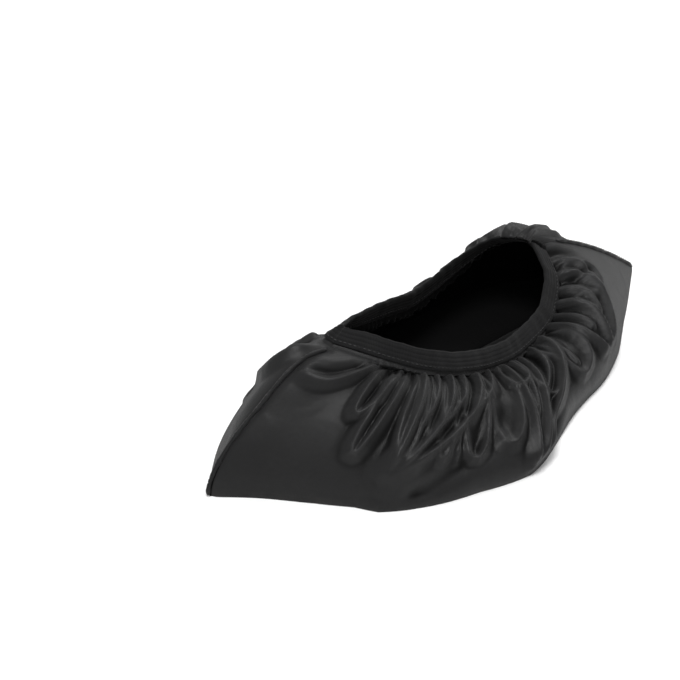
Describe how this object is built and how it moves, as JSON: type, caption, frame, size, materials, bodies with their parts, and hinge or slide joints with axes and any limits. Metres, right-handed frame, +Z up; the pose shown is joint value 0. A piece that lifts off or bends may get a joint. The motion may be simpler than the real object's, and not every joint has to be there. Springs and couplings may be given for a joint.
{
  "type": "skate boot cover",
  "caption": "Pull-on boot cover of thin coated cloth, sewn from left and right panels and gathered into a folded elastic binding round a teardrop opening.",
  "frame": {"origin": "middle of the box round the cover, on the floor under its flat sole", "axes": "+X from toe to heel, +Y towards the cover's right side, +Z up"},
  "size_m": [0.3316, 0.152, 0.065],
  "materials": {
    "nylon": "thin coated nylon, soft sheen",
    "elastic": "matte ribbed elastic",
    "seam": "folded nylon, stitched"
  },
  "bodies": {
    "root": {"left_panel": "nylon", "right_panel": "nylon", "elastic_binding": "elastic", "toe_seam": "seam", "heel_seam": "seam"}
  },
  "joints": []
}
